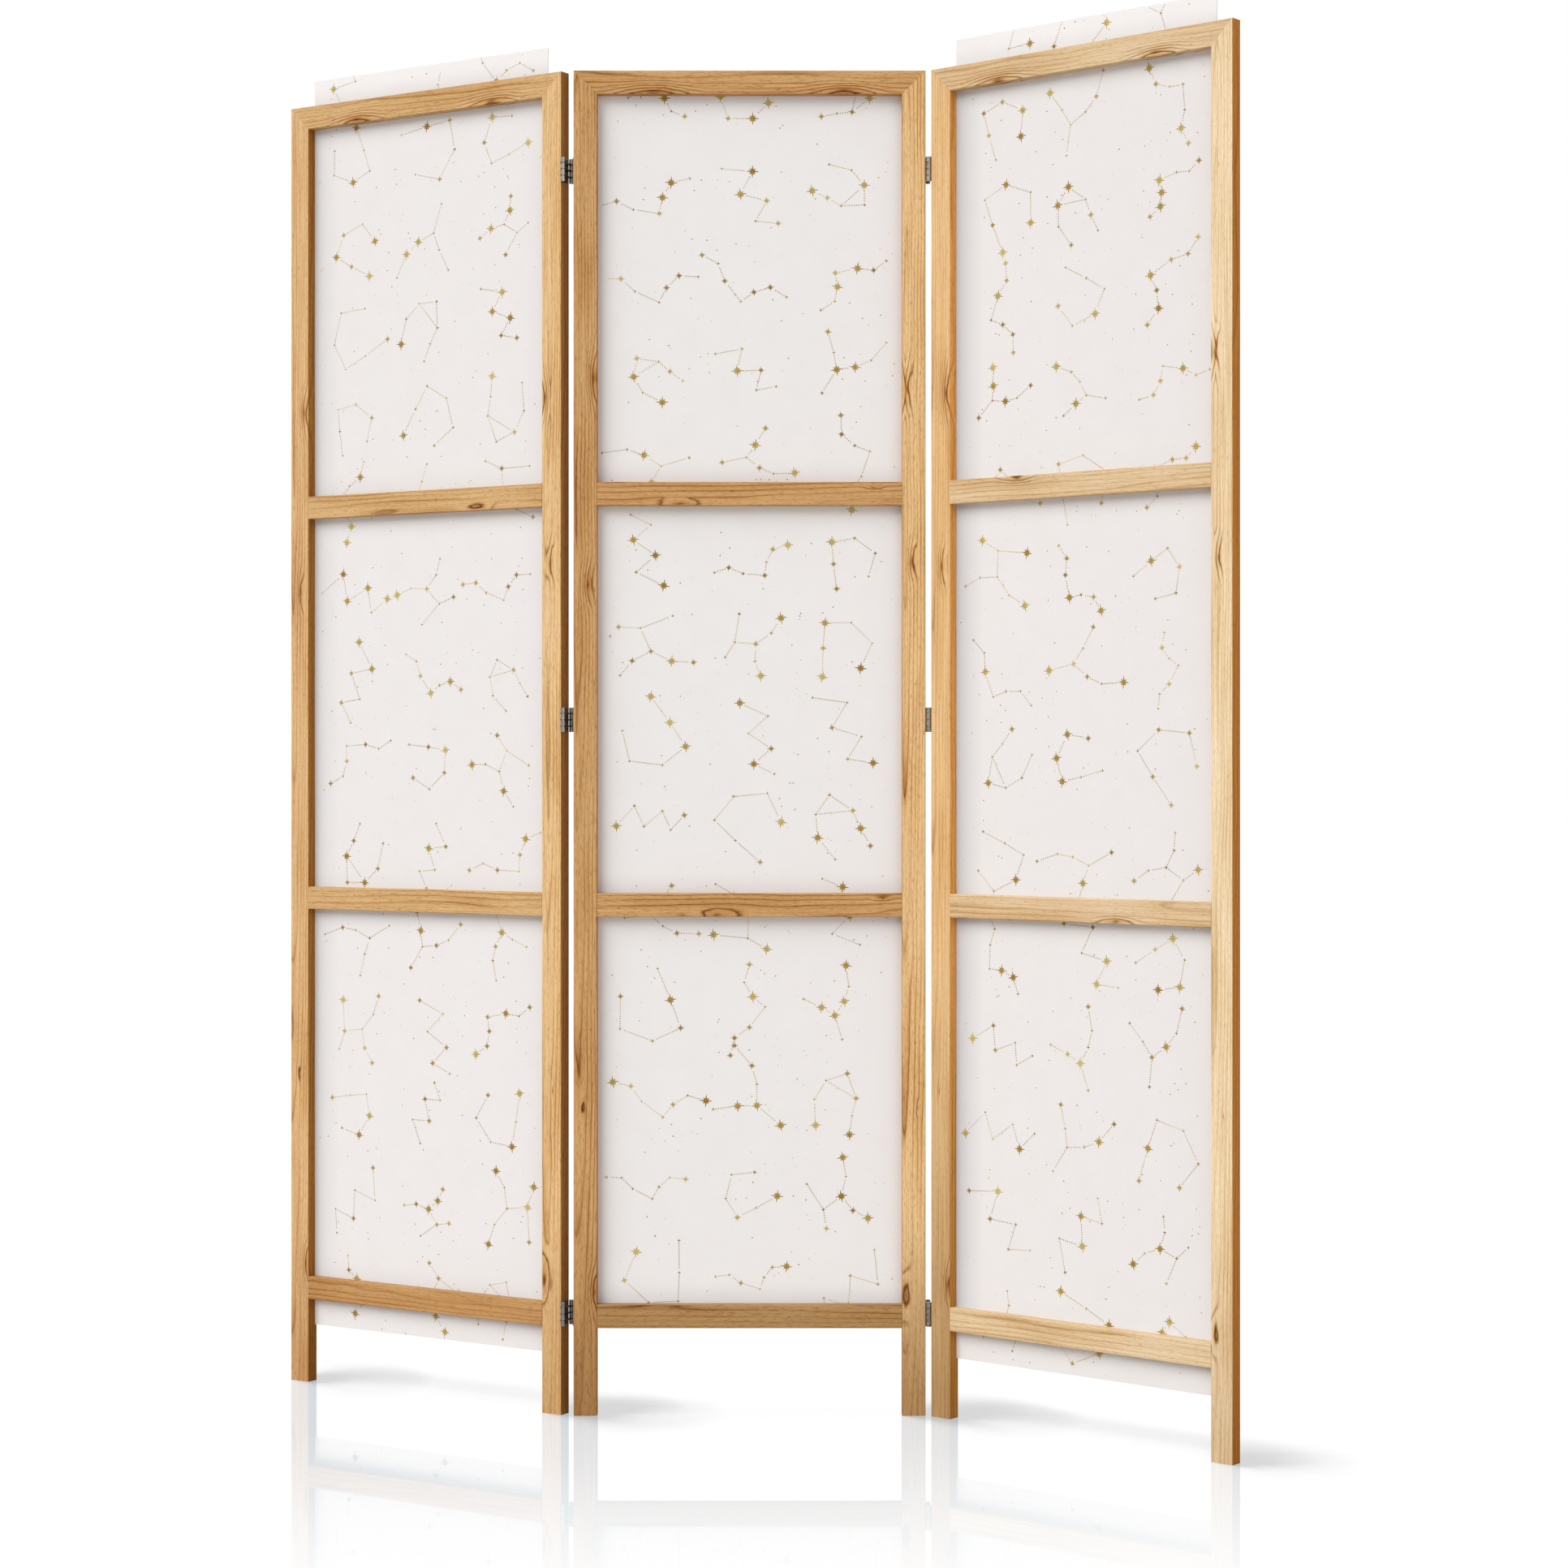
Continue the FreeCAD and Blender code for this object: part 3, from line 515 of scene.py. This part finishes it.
def cloth_shade(tree, place, panel):
    """The cloth's painted shade by height, deeper on the outer panels and cooler just above
    each rail, with its soft shade beside the left stile.
    """
    parts = add(tree, "SeparateXYZ", {0: place}).outputs
    top, tone = OUTER_HIGH.z, CLOTH_SHADE_TONES[panel]
    stops = []
    # Painted shade by height: the outer panels' deeper tone up to the top rail, and a cool tint
    # just above each rail.
    for rail, (foot, head) in zip(RAILS, RAIL_SPANS):
        above = WHITE if rail == "top" else tone
        stops += [(foot / top, tone), (head / top, PAINTED_COOL_TINT), ((head + COOL_REACH) / top, above)]
    share = add(tree, "Math", {0: parts["Z"], 1: top}, operation="DIVIDE").outputs["Value"]
    out = add(tree, "MapRange", {
        "Value": parts["X"],
        "From Min": -SHEET_WIDTH / 2, "From Max": STILE_SHADE_WIDTH - SHEET_WIDTH / 2,
    }).outputs["Result"]
    low, high = RAIL_SPANS[0][1], RAIL_SPANS[-1][1]
    framed = add(tree, "Math", {
        0: parts["Z"], 1: (low + high) / 2, 2: (high - low) / 2,
    }, operation="COMPARE").outputs["Value"]
    strength = add(tree, "Math", {
        0: framed, 1: STILE_SHADE_SHARES[panel],
    }, operation="MULTIPLY").outputs["Value"]
    return multiplied(tree, ramp(tree, share, stops), ramp(tree, out, STILE_SHADE), strength)


def woven_sheet(panel):
    """Plain-woven off-white polyester: a matt surface with a faint square thread texture."""
    material, tree = blank(f"woven_polyester_{panel}")
    place = grain_place(tree, panel, Matrix.Identity(3), Vector((0, 0, 0)))
    waves = [
        add(tree, "TexWave", {
            "Vector": place, "Scale": WEAVE_SCALE, "Distortion": 0.6,
            "Detail": 1.0, "Detail Scale": 3.0,
        }, bands_direction=direction).outputs["Fac"]
        for direction in ("X", "Z")
    ]
    weave = add(tree, "Math", {
        0: waves[0], 1: waves[1],
    }, operation="MULTIPLY").outputs["Value"]
    slubs = add(tree, "TexNoise", {
        "Vector": place, "Scale": 1 / SLUB_SIZE, "Detail": 2.0,
    }).outputs["Fac"]
    tint = ramp(tree, weave, WEAVE_TONES)
    even = multiplied(tree, tint, ramp(tree, slubs, SLUB_TONES), SLUB_SHARE)
    relief = add(tree, "Bump", {"Height": weave, "Strength": 0.3, "Distance": WEAVE_DEPTH})
    finish_surface(tree, {
        "Base Color": multiplied(tree, even, cloth_shade(tree, place, panel)),
        "Roughness": 0.9,
        "Specular IOR Level": 0.15,
        "Sheen Weight": 0.05,
        "Normal": relief.outputs["Normal"],
    })
    return material


def sheet_lift(across, height):
    """How far a stretched sheet stands forward of flat: nothing where a rail holds it."""
    wave = math.sin(across / SHEET_WIDTH * WAVES_ACROSS + height * WAVES_UP)
    for (_, below), (above, _) in zip(RAIL_SPANS, RAIL_SPANS[1:]):
        if below < height < above:
            belly = math.sin(math.pi * (height - below) / (above - below)) ** 2
            return SHEET_SLACK * belly * (0.6 + 0.4 * wave)
    past = max(RAIL_SPANS[0][0] - height, height - RAIL_SPANS[-1][1], 0.0)
    share = past / (OUTER_HIGH.z - RAIL_SPANS[-1][1])
    return -FREE_EDGE_CURL * share ** 2 * (0.5 + 0.5 * wave)


def new_piece(name, bm, place, material):
    """A finished piece: its mesh carried to its place, its object at the origin."""
    bm.transform(place)
    bmesh.ops.recalc_face_normals(bm, faces=bm.faces)
    mesh = bpy.data.meshes.new(name)
    bm.to_mesh(mesh)
    bm.free()
    mesh.materials.append(material)
    piece = bpy.data.objects.new(name, mesh)
    bpy.context.collection.objects.link(piece)
    return piece


def make_sheet(panel, low, high):
    """The stretched sheet of a panel, behind its four rails and in front of its battens."""
    bm = bmesh.new()
    height = high - low
    bmesh.ops.create_grid(
        bm,
        x_segments=round(SHEET_WIDTH / SHEET_CELL),
        y_segments=round(height / SHEET_CELL),
        size=0.5,
    )
    bmesh.ops.scale(bm, vec=(SHEET_WIDTH, height, 1), verts=bm.verts)
    raised = Matrix.Translation((0, 0, (low + high) / 2))
    upright = raised @ Matrix.Rotation(math.radians(90), 4, "X")
    bmesh.ops.transform(bm, matrix=upright, verts=bm.verts)
    for vert in bm.verts:
        vert.co.y = SHEET_FRONT - sheet_lift(vert.co.x, vert.co.z)
    bmesh.ops.solidify(bm, geom=bm.faces[:], thickness=SHEET_THICKNESS)
    for face in bm.faces:
        face.smooth = True
    for edge in bm.edges:
        edge.smooth = edge.calc_face_angle(0.0) < SHARP_ANGLE
    piece = new_piece(f"{panel}_cloth", bm, PANEL_PLACES[panel], woven_sheet(panel))
    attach(piece, panel)
    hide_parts(f"{panel}_sheet")


# Print: gold star groups joined by dotted lines, in a layout of this script's own.

INK_PROUD = 0.08 * MM
INK_CLOUD = 45.5 * MM
INK_TONES = ((0.36, "#92722A"), (0.5, "#AA8F42"), (0.64, "#C4B06C"))
# The grid of star groups, and how far loose dots keep from a group's stars. Then, in
# millimetres, how far a group is moved off the grid and the range of its half width.
GROUP_PITCH = (122 * MM, 116 * MM)
GROUP_CLEAR = 9 * MM
GROUP_SHIFT = 9
GROUP_HALVES = (38, 54)
# Points and joining lines of the star groups, as shares of a group's half width.
GROUP_SHARES = (
    (
        (
            (-1, 0.5), (-0.62, 0.22), (-0.2, 0.3), (0.15, 0.5),
            (0.5, -0.05), (0.62, -0.5), (1, -0.75),
        ),
        ((0, 1), (1, 2), (2, 3), (3, 4), (4, 5), (5, 6)),
    ),
    (
        ((-0.8, -0.6), (-0.5, 0.15), (-0.2, 0.8), (0.5, 0.55), (0.85, -0.2), (0.3, -0.75)),
        ((0, 1), (1, 2), (2, 3), (3, 4), (4, 5)),
    ),
    (
        (
            (0, 1), (0.1, 0.55), (0, 0.05), (-0.5, -0.2),
            (-0.85, -0.6), (0.6, -0.1), (0.95, 0.3), (0.35, -0.9),
        ),
        ((0, 1), (1, 2), (2, 3), (3, 4), (2, 5), (5, 6), (5, 7)),
    ),
    (
        ((-1, -0.35), (-0.6, 0.4), (-0.15, -0.15), (0.3, 0.45), (0.7, -0.05), (1, 0.5)),
        ((0, 1), (1, 2), (2, 3), (3, 4), (4, 5)),
    ),
    (
        (
            (-0.7, 0.9), (-0.45, 0.35), (-0.3, -0.1), (-0.6, -0.8),
            (0.2, 0.05), (0.6, 0.3), (0.95, 0.85),
        ),
        ((0, 1), (1, 2), (2, 3), (2, 4), (4, 5), (5, 6)),
    ),
    (
        (
            (-0.95, 0.15), (-0.4, 0.6), (0.2, 0.65), (0.7, 0.3),
            (0.3, -0.3), (-0.15, -0.5), (-0.6, -0.75),
        ),
        ((0, 1), (1, 2), (2, 3), (3, 4), (4, 5), (5, 6), (4, 2)),
    ),
)
# How far a star's sixteen corners reach, round from one long point to the next.
LONG_STAR = (1.0, 0.34, 0.64, 0.34)
SHORT_STAR = (1.0, 0.36, 0.46, 0.36)
STAR_CORNERS = 16
# Above this radius a star has long points.
SHORT_RADIUS = 3 * MM
# The stars' radii in millimetres, and how far one is turned at most, in radians.
STAR_RADII = (2.7, 2.7, 3.0, 3.4, 5.2, 5.6, 8.4, 8.8)
STAR_TURN = 0.2
# Loose dots tried round each group, and their radii in millimetres.
LOOSE_DOTS = 14
LOOSE_RADII = (0.45, 0.6, 0.95)
# The dots of a line, how far apart they are, and the share of a star's radius they keep off.
DOT_RADIUS = 0.8 * MM
DOT_PITCH = 3.1 * MM
DOT_CORNERS = 6
STAR_ROOM = 0.75


def gold_ink():
    """Gold-brown pigment ink, screen printed: matt, a little uneven where the cloth shows."""
    material, tree = blank("gold_pigment_ink")
    place = add(tree, "TexCoord").outputs["Object"]
    cloud = add(tree, "TexNoise", {
        "Vector": place, "Scale": 1 / INK_CLOUD, "Detail": 2.0,
    }).outputs["Fac"]
    finish_surface(tree, {
        "Base Color": ramp(tree, cloud, INK_TONES), "Roughness": 0.7, "Specular IOR Level": 0.2,
    })
    return material


def add_motif(bm, across, height, radius, turn=0.0, shares=None):
    """A thin printed dot, or a star where shares pull its corners in."""
    made = bmesh.ops.create_cone(
        bm, cap_ends=True, segments=STAR_CORNERS if shares else DOT_CORNERS,
        radius1=radius, radius2=radius, depth=2 * INK_PROUD,
    )["verts"]
    if shares:
        for vert in made:
            corner = round(math.atan2(vert.co.y, vert.co.x) / (2 * math.pi / STAR_CORNERS))
            share = shares[corner % len(shares)]
            vert.co.x *= share
            vert.co.y *= share
    front = SHEET_FRONT - sheet_lift(across, height)
    place = (
        Matrix.Translation((across, front, height))
        @ Matrix.Rotation(math.radians(90), 4, "X")
        @ Matrix.Rotation(turn, 4, "Z")
    )
    bmesh.ops.transform(bm, matrix=place, verts=made)


def shows(across, height, radius, low, high):
    """Whether a motif lies on the sheet, and not wholly behind a rail."""
    if abs(across) + radius > SHEET_WIDTH / 2 or not low + radius < height < high - radius:
        return False
    return not any(
        foot < height - radius and height + radius < top for foot, top in RAIL_SPANS
    )


def dotted_line(start, end):
    """Places of the dots that run from one star to the next, clear of both."""
    first, last = Vector(start[:2]), Vector(end[:2])
    run = last - first
    lead = start[2] * STAR_ROOM + DOT_PITCH / 2
    room = run.length - lead - end[2] * STAR_ROOM - DOT_PITCH / 2
    return [
        first + run.normalized() * (lead + step * DOT_PITCH)
        for step in range(int(room / DOT_PITCH) + 1)
    ]


def star_group(across, height, dice):
    """One group's stars, as (across, height, radius), and its dots."""
    half = dice.uniform(*GROUP_HALVES) * MM
    turn = Matrix.Rotation(dice.uniform(0, 2 * math.pi), 2)
    points, lines = dice.choice(GROUP_SHARES)
    stars = []
    for point in points:
        spot = turn @ Vector(point) * half
        stars.append((across + spot.x, height + spot.y, dice.choice(STAR_RADII) * MM))
    dots = [spot for start, end in lines for spot in dotted_line(stars[start], stars[end])]
    return stars, dots


def print_group(bm, across, height, low, high, dice):
    """One star group about its middle, with the loose dots between it and the next."""
    stars, dots = star_group(across, height, dice)
    for x, z, radius in stars:
        if shows(x, z, radius, low, high):
            shares = LONG_STAR if radius > SHORT_RADIUS else SHORT_STAR
            add_motif(bm, x, z, radius, dice.uniform(-STAR_TURN, STAR_TURN), shares)
    for x, z in dots:
        if shows(x, z, DOT_RADIUS, low, high):
            add_motif(bm, x, z, DOT_RADIUS)
    for _ in range(LOOSE_DOTS):
        x = across + dice.uniform(-0.5, 0.5) * GROUP_PITCH[0]
        z = height + dice.uniform(-0.5, 0.5) * GROUP_PITCH[1]
        clear = all((Vector((x, z)) - Vector(star[:2])).length > GROUP_CLEAR for star in stars)
        radius = dice.choice(LOOSE_RADII) * MM
        if clear and shows(x, z, radius, low, high):
            add_motif(bm, x, z, radius)


def make_print(panel, low, high, dice):
    """Star groups on a loose grid over the whole sheet, with loose dots between."""
    whole = bmesh.new()
    columns = round(SHEET_WIDTH / GROUP_PITCH[0])
    rows = math.ceil((high - low) / GROUP_PITCH[1])
    for row in range(rows):
        for column in range(columns):
            aside = dice.uniform(-GROUP_SHIFT, GROUP_SHIFT) * MM
            across = (column - (columns - 1) / 2) * GROUP_PITCH[0] + aside
            up = dice.uniform(-GROUP_SHIFT, GROUP_SHIFT) * MM
            height = low + (row + 0.5) * GROUP_PITCH[1] + up
            # Each group in a mesh of its own, so that each add_motif handles few corners.
            bm = bmesh.new()
            print_group(bm, across, height, low, high, dice)
            part = bpy.data.meshes.new("star_group")
            bm.to_mesh(part)
            bm.free()
            whole.from_mesh(part)
            bpy.data.meshes.remove(part)
    piece = new_piece(f"{panel}_star_print", whole, PANEL_PLACES[panel], INK)
    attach(piece, panel)


# The pieces. One run of random draws goes through the wood and then the prints.

dice = random.Random(4)
for panel in PANELS:
    dress_wood(panel, dice)
BEECH = turned_beech()
HINGE = plated_steel("nickel_plated_steel", ("#7F766D", "#9F968A"), 0.3)
SCREW = plated_steel("zinc_plated_steel", ("#B4B6B8", "#CBCCCD"), 0.32)
INK = gold_ink()
for node in NODES:
    if node.endswith("_dowels"):
        paint(node, BEECH)
    elif node.endswith("_screws"):
        paint(node, SCREW)
    elif node.endswith(("_leaf", "_links", "_pins")):
        paint(node, HINGE)
for panel in PANELS:
    low, high = SHEET_LOW.z, SHEET_HIGH.z
    if panel != "centre_panel":
        low, high = OUTER_LOW.z, OUTER_HIGH.z
    make_sheet(panel, low, high)
    make_print(panel, low, high, dice)


# The stage: a pale floor, a white surround, soft studio light and the camera.

FLOOR_HALF = 30
# The floor's own brightness to the camera, and the plain grey that bounces light.
FLOOR_WHITE = 1.01
BOUNCE_GREY = 0.58
# Share of red, green and blue that the floor mirrors at the feet: the redder share keeps
# the mirrored wood grey. Away towards the camera it fades.
FLOOR_MIRROR = (0.385, 0.31, 0.27)
FADE_REACH = 1.1
# The floor's soft shadows: how far a piece darkens it, the way that it looks for pieces, the
# span of openness over which it darkens, and the share of light left in the darkest.
SHADE_REACH = 0.165
SHADE_LEAN = (-1.0, -0.15, 0.2)
SHADE_SPAN = (0.865, 0.97)
SHADE_DEPTH = 0.68


def make_floor():
    """A bright white sweep with a thin gloss: a soft shadow right of each foot, as from a
    low light on the left, and a faint mirror image."""
    bm = bmesh.new()
    bmesh.ops.create_grid(bm, x_segments=1, y_segments=1, size=FLOOR_HALF)
    material, tree = blank("white_gloss_floor")
    depth = add(tree, "SeparateXYZ", {0: add(tree, "TexCoord").outputs["Object"]}).outputs["Y"]
    fade = add(tree, "MapRange", {
        "Value": depth, "From Min": -FADE_REACH, "From Max": 0.0,
    }, interpolation_type="SMOOTHSTEP").outputs["Result"]
    mirrored = add(tree, "VectorMath", {
        0: FLOOR_MIRROR, 3: fade,
    }, operation="SCALE").outputs["Vector"]
    rest = add(tree, "VectorMath", {
        0: (FLOOR_WHITE, FLOOR_WHITE, FLOOR_WHITE), 1: mirrored,
    }, operation="SUBTRACT").outputs["Vector"]
    lean = add(tree, "CombineXYZ", dict(enumerate(SHADE_LEAN))).outputs[0]
    nearby = add(tree, "AmbientOcclusion", {
        "Distance": SHADE_REACH, "Normal": lean,
    }, samples=24).outputs["AO"]
    dim = add(tree, "MapRange", {
        "Value": nearby, "From Min": SHADE_SPAN[0], "From Max": SHADE_SPAN[1],
        "To Min": SHADE_DEPTH,
    }, interpolation_type="SMOOTHSTEP").outputs["Result"]
    glow = add(tree, "Emission", {"Color": rest, "Strength": dim})
    dimmed = add(tree, "VectorMath", {0: mirrored, 3: dim}, operation="SCALE").outputs["Vector"]
    mirror = add(tree, "BsdfGlossy", {"Color": dimmed, "Roughness": 0.02})
    seen = add(tree, "AddShader", {0: glow.outputs[0], 1: mirror.outputs[0]})
    plain = add(tree, "BsdfDiffuse", {"Color": (BOUNCE_GREY, BOUNCE_GREY, BOUNCE_GREY, 1.0)})
    path = add(tree, "LightPath")
    mixed = add(tree, "MixShader", {
        0: path.outputs["Is Camera Ray"], 1: plain.outputs[0], 2: seen.outputs[0],
    })
    add(tree, "OutputMaterial", {"Surface": mixed.outputs[0]})
    floor = new_piece("floor", bm, Matrix.Identity(4), material)


def light_world(strength):
    """Even light from all round, seen as plain white by the camera and in reflections."""
    world = bpy.data.worlds.new("white_studio")
    bpy.context.scene.world = world
    world.use_nodes = True
    tree = world.node_tree
    tree.nodes.clear()
    lamp = add(tree, "Background", {"Color": colour("#FFFDFA"), "Strength": strength})
    white = add(tree, "Background", {"Color": colour(WHITE), "Strength": 1.0})
    path = add(tree, "LightPath").outputs
    seen = add(tree, "Math", {
        0: path["Is Camera Ray"], 1: path["Is Glossy Ray"],
    }, operation="MAXIMUM").outputs[0]
    clear = add(tree, "Math", {
        0: seen, 1: path["Is Transmission Ray"],
    }, operation="MAXIMUM").outputs[0]
    mixed = add(tree, "MixShader", {0: clear, 1: lamp.outputs[0], 2: white.outputs[0]})
    add(tree, "OutputWorld", {"Surface": mixed.outputs[0]})


def add_studio_light(name, towards, softness, strength, mirrored=True):
    """A broad far light of an even level; softness is the angle that it fills, in degrees."""
    lamp = bpy.data.lights.new(name, "SUN")
    lamp.angle = math.radians(softness)
    lamp.energy = strength
    holder = bpy.data.objects.new(name, lamp)
    holder.location = towards
    holder.rotation_euler = Vector(towards).to_track_quat("Z", "Y").to_euler()
    holder.visible_glossy = mirrored
    bpy.context.collection.objects.link(holder)


# In pixels of the photograph: its side, the height of its horizon and its focal length. Then
# the sensor's width in millimetres, and the camera's place in metres, in front of the centre
# panel, above the floor and right of the panel's middle.
IMAGE_PIXELS = 1932
HORIZON_PIXEL = 942.1
FOCAL_PIXELS = 3973
SENSOR = 36.0
CAMERA_BACK = 4.122
CAMERA_HEIGHT = 0.8326
CAMERA_RIGHT = 0.044


def place_camera():
    """Level and square to the centre panel, a little right of its middle."""
    camera = bpy.data.cameras.new("camera")
    camera.sensor_width = SENSOR
    camera.lens = FOCAL_PIXELS * SENSOR / IMAGE_PIXELS
    camera.shift_y = (HORIZON_PIXEL - IMAGE_PIXELS / 2) / IMAGE_PIXELS
    holder = bpy.data.objects.new("camera", camera)
    middle = PANEL_PLACES["centre_panel"].translation
    holder.location = (middle.x + CAMERA_RIGHT, STILE_LOW.y - CAMERA_BACK, CAMERA_HEIGHT)
    holder.rotation_euler = (math.radians(90), 0, 0)
    bpy.context.collection.objects.link(holder)
    bpy.context.scene.camera = holder


make_floor()
light_world(strength=0.25)
add_studio_light("upper_left_key", (-2.75, -2.5, 3.35), softness=50, strength=2.7)
add_studio_light("right_fill", (3.0, -3.95, 0.75), softness=60, strength=0.75)
add_studio_light("back_fill", (-0.6, 3.5, 1.6), softness=60, strength=1.6, mirrored=False)
place_camera()
bpy.context.scene.view_settings.view_transform = "Standard"
